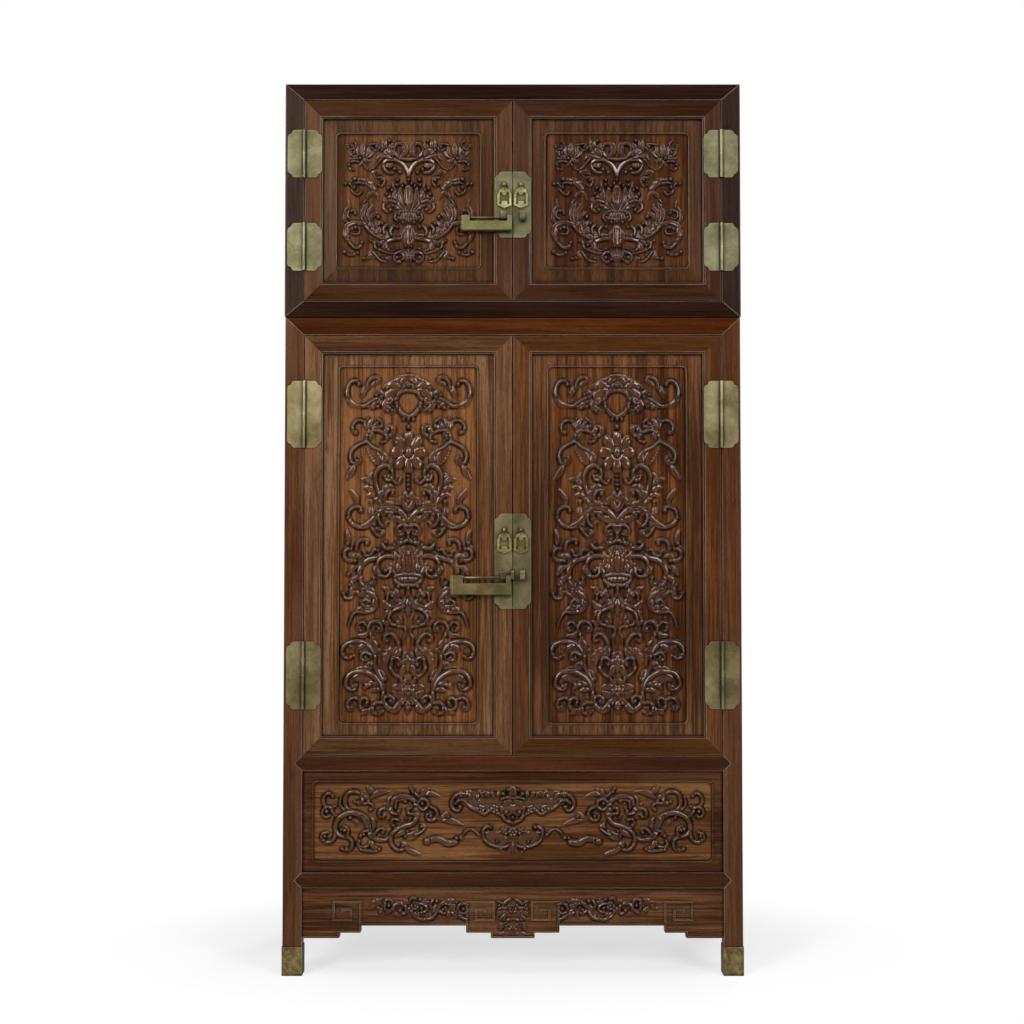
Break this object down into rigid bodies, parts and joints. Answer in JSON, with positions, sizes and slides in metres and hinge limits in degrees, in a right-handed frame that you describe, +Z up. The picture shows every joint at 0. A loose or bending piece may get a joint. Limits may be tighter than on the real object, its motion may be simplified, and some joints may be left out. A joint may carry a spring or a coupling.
{
  "type": "compound cabinet",
  "caption": "Tall square-cornered rosewood cabinet with a matching top chest, carved doors, hidden well, stepped apron and brass hinges, lock plates, pulls and sliding padlocks.",
  "frame": {"origin": "centre of the bounding box on the floor under the feet", "axes": "+Z up, +X to the right of someone facing the doors, +Y from the doors to the back"},
  "size_m": [1.234, 0.5898, 2.4003],
  "materials": {
    "lower_posts": "oiled dark rosewood, worn pale at the arrises",
    "lower_top_frame": "oiled dark rosewood, worn pale at the arrises",
    "lower_top_board": "oiled rosewood board",
    "sill_rail": "oiled dark rosewood, worn pale at the arrises",
    "bottom_rail": "oiled dark rosewood, worn pale at the arrises",
    "lower_side_rails": "oiled dark rosewood, worn pale at the arrises",
    "lower_rear_rails": "oiled dark rosewood, worn pale at the arrises",
    "lower_side_boards": "oiled rosewood board",
    "lower_back_boards": "oiled rosewood board",
    "well_panel": "waxed carved rosewood",
    "well_floor": "plain unpolished interior wood",
    "lid_bearers": "plain unpolished interior wood",
    "lower_shelf": "plain unpolished interior wood",
    "apron_front": "waxed carved rosewood",
    "apron_sides": "waxed carved rosewood",
    "brass_shoes": "old satin brass",
    "centre_post": "oiled dark rosewood, worn pale at the arrises",
    "centre_staple": "old satin brass",
    "lower_case_hinges": "old satin brass",
    "left_lid": "plain unpolished interior wood",
    "right_lid": "plain unpolished interior wood",
    "chest_posts": "oiled dark rosewood, worn pale at the arrises",
    "chest_top_frame": "oiled dark rosewood, worn pale at the arrises",
    "chest_top_board": "oiled rosewood board",
    "chest_bottom_frame": "oiled dark rosewood, worn pale at the arrises",
    "chest_floor": "plain unpolished interior wood",
    "chest_side_boards": "oiled rosewood board",
    "chest_back_board": "oiled rosewood board",
    "chest_shelf": "plain unpolished interior wood",
    "chest_case_hinges": "old satin brass",
    "lower_left_frame": "oiled dark rosewood, worn pale at the arrises",
    "lower_left_panel": "waxed carved rosewood",
    "lower_left_leaves": "old satin brass",
    "lower_left_plate": "old satin brass",
    "lower_left_fittings": "old satin brass",
    "lower_left_pull": "old satin brass",
    "lower_right_frame": "oiled dark rosewood, worn pale at the arrises",
    "lower_right_panel": "waxed carved rosewood",
    "lower_right_leaves": "old satin brass",
    "lower_right_plate": "old satin brass",
    "lower_right_fittings": "old satin brass",
    "lower_right_pull": "old satin brass",
    "chest_left_frame": "oiled dark rosewood, worn pale at the arrises",
    "chest_left_panel": "waxed carved rosewood",
    "chest_left_leaves": "old satin brass",
    "chest_left_plate": "old satin brass",
    "chest_left_fittings": "old satin brass",
    "chest_left_pull": "old satin brass",
    "chest_right_frame": "oiled dark rosewood, worn pale at the arrises",
    "chest_right_panel": "waxed carved rosewood",
    "chest_right_leaves": "old satin brass",
    "chest_right_plate": "old satin brass",
    "chest_right_fittings": "old satin brass",
    "chest_right_pull": "old satin brass",
    "lower_padlock": "old satin brass",
    "lower_bolt": "old satin brass",
    "chest_padlock": "old satin brass",
    "chest_bolt": "old satin brass"
  },
  "bodies": {
    "lower_cabinet": {"lower_posts": "lower_posts", "lower_top_frame": "lower_top_frame", "lower_top_board": "lower_top_board", "sill_rail": "sill_rail", "bottom_rail": "bottom_rail", "lower_side_rails": "lower_side_rails", "lower_rear_rails": "lower_rear_rails", "lower_side_boards": "lower_side_boards", "lower_back_boards": "lower_back_boards", "well_panel": "well_panel", "well_floor": "well_floor", "lid_bearers": "lid_bearers", "lower_shelf": "lower_shelf", "apron_front": "apron_front", "apron_sides": "apron_sides", "brass_shoes": "brass_shoes", "centre_post": "centre_post", "centre_staple": "centre_staple", "lower_case_hinges": "lower_case_hinges"},
    "top_chest": {"chest_posts": "chest_posts", "chest_top_frame": "chest_top_frame", "chest_top_board": "chest_top_board", "chest_bottom_frame": "chest_bottom_frame", "chest_floor": "chest_floor", "chest_side_boards": "chest_side_boards", "chest_back_board": "chest_back_board", "chest_shelf": "chest_shelf", "chest_case_hinges": "chest_case_hinges"},
    "lower_left_door": {"lower_left_frame": "lower_left_frame", "lower_left_panel": "lower_left_panel", "lower_left_leaves": "lower_left_leaves", "lower_left_plate": "lower_left_plate", "lower_left_fittings": "lower_left_fittings"},
    "lower_left_pull_body": {"lower_left_pull": "lower_left_pull"},
    "lower_right_door": {"lower_right_frame": "lower_right_frame", "lower_right_panel": "lower_right_panel", "lower_right_leaves": "lower_right_leaves", "lower_right_plate": "lower_right_plate", "lower_right_fittings": "lower_right_fittings"},
    "lower_right_pull_body": {"lower_right_pull": "lower_right_pull"},
    "lower_padlock_body": {"lower_padlock": "lower_padlock"},
    "lower_bolt_body": {"lower_bolt": "lower_bolt"},
    "chest_left_door": {"chest_left_frame": "chest_left_frame", "chest_left_panel": "chest_left_panel", "chest_left_leaves": "chest_left_leaves", "chest_left_plate": "chest_left_plate", "chest_left_fittings": "chest_left_fittings"},
    "chest_left_pull_body": {"chest_left_pull": "chest_left_pull"},
    "chest_right_door": {"chest_right_frame": "chest_right_frame", "chest_right_panel": "chest_right_panel", "chest_right_leaves": "chest_right_leaves", "chest_right_plate": "chest_right_plate", "chest_right_fittings": "chest_right_fittings"},
    "chest_right_pull_body": {"chest_right_pull": "chest_right_pull"},
    "chest_padlock_body": {"chest_padlock": "chest_padlock"},
    "chest_bolt_body": {"chest_bolt": "chest_bolt"},
    "left_lid_body": {"left_lid": "left_lid"},
    "right_lid_body": {"right_lid": "right_lid"}
  },
  "joints": [
    {"name": "chest_lift", "type": "slide", "parent": "lower_cabinet", "child": "top_chest", "axis": [0, 0, 1], "range_m": [0, 0.3]},
    {"name": "lower_left_door_hinge", "type": "hinge", "parent": "lower_cabinet", "child": "lower_left_door", "pos_m": [-0.563, -0.2726, 1.15], "axis": [0, 0, -1], "range_deg": [0, 170]},
    {"name": "lower_left_pull_pivot", "type": "hinge", "parent": "lower_left_door", "child": "lower_left_pull_body", "pos_m": [-0.0225, -0.2723, 1.1795], "axis": [-1, 0, 0], "range_deg": [0, 70]},
    {"name": "lower_right_door_hinge", "type": "hinge", "parent": "lower_cabinet", "child": "lower_right_door", "pos_m": [0.563, -0.2726, 1.15], "axis": [0, 0, 1], "range_deg": [0, 170]},
    {"name": "lower_right_pull_pivot", "type": "hinge", "parent": "lower_right_door", "child": "lower_right_pull_body", "pos_m": [0.0225, -0.2723, 1.1795], "axis": [-1, 0, 0], "range_deg": [0, 70]},
    {"name": "lower_padlock_swing", "type": "hinge", "parent": "lower_left_door", "child": "lower_padlock_body", "pos_m": [-0.026, -0.2829, 1.0605], "axis": [-1, 0, 0], "range_deg": [0, 80]},
    {"name": "lower_bolt_draw", "type": "slide", "parent": "lower_padlock_body", "child": "lower_bolt_body", "axis": [-1, 0, 0], "range_m": [0, 0.05]},
    {"name": "chest_left_door_hinge", "type": "hinge", "parent": "top_chest", "child": "chest_left_door", "pos_m": [-0.565, -0.2746, 2.0823], "axis": [0, 0, -1], "range_deg": [0, 170]},
    {"name": "chest_left_pull_pivot", "type": "hinge", "parent": "chest_left_door", "child": "chest_left_pull_body", "pos_m": [-0.0225, -0.2743, 2.1138], "axis": [-1, 0, 0], "range_deg": [0, 70]},
    {"name": "chest_right_door_hinge", "type": "hinge", "parent": "top_chest", "child": "chest_right_door", "pos_m": [0.565, -0.2746, 2.0823], "axis": [0, 0, 1], "range_deg": [0, 170]},
    {"name": "chest_right_pull_pivot", "type": "hinge", "parent": "chest_right_door", "child": "chest_right_pull_body", "pos_m": [0.0225, -0.2743, 2.1138], "axis": [-1, 0, 0], "range_deg": [0, 70]},
    {"name": "chest_padlock_swing", "type": "hinge", "parent": "chest_left_door", "child": "chest_padlock_body", "pos_m": [-0.026, -0.2849, 2.0308], "axis": [-1, 0, 0], "range_deg": [0, 80]},
    {"name": "chest_bolt_draw", "type": "slide", "parent": "chest_padlock_body", "child": "chest_bolt_body", "axis": [-1, 0, 0], "range_m": [0, 0.05]},
    {"name": "left_lid_lift", "type": "slide", "parent": "lower_cabinet", "child": "left_lid_body", "axis": [0, 0, 1], "range_m": [0, 0.25]},
    {"name": "right_lid_lift", "type": "slide", "parent": "lower_cabinet", "child": "right_lid_body", "axis": [0, 0, 1], "range_m": [0, 0.25]}
  ]
}
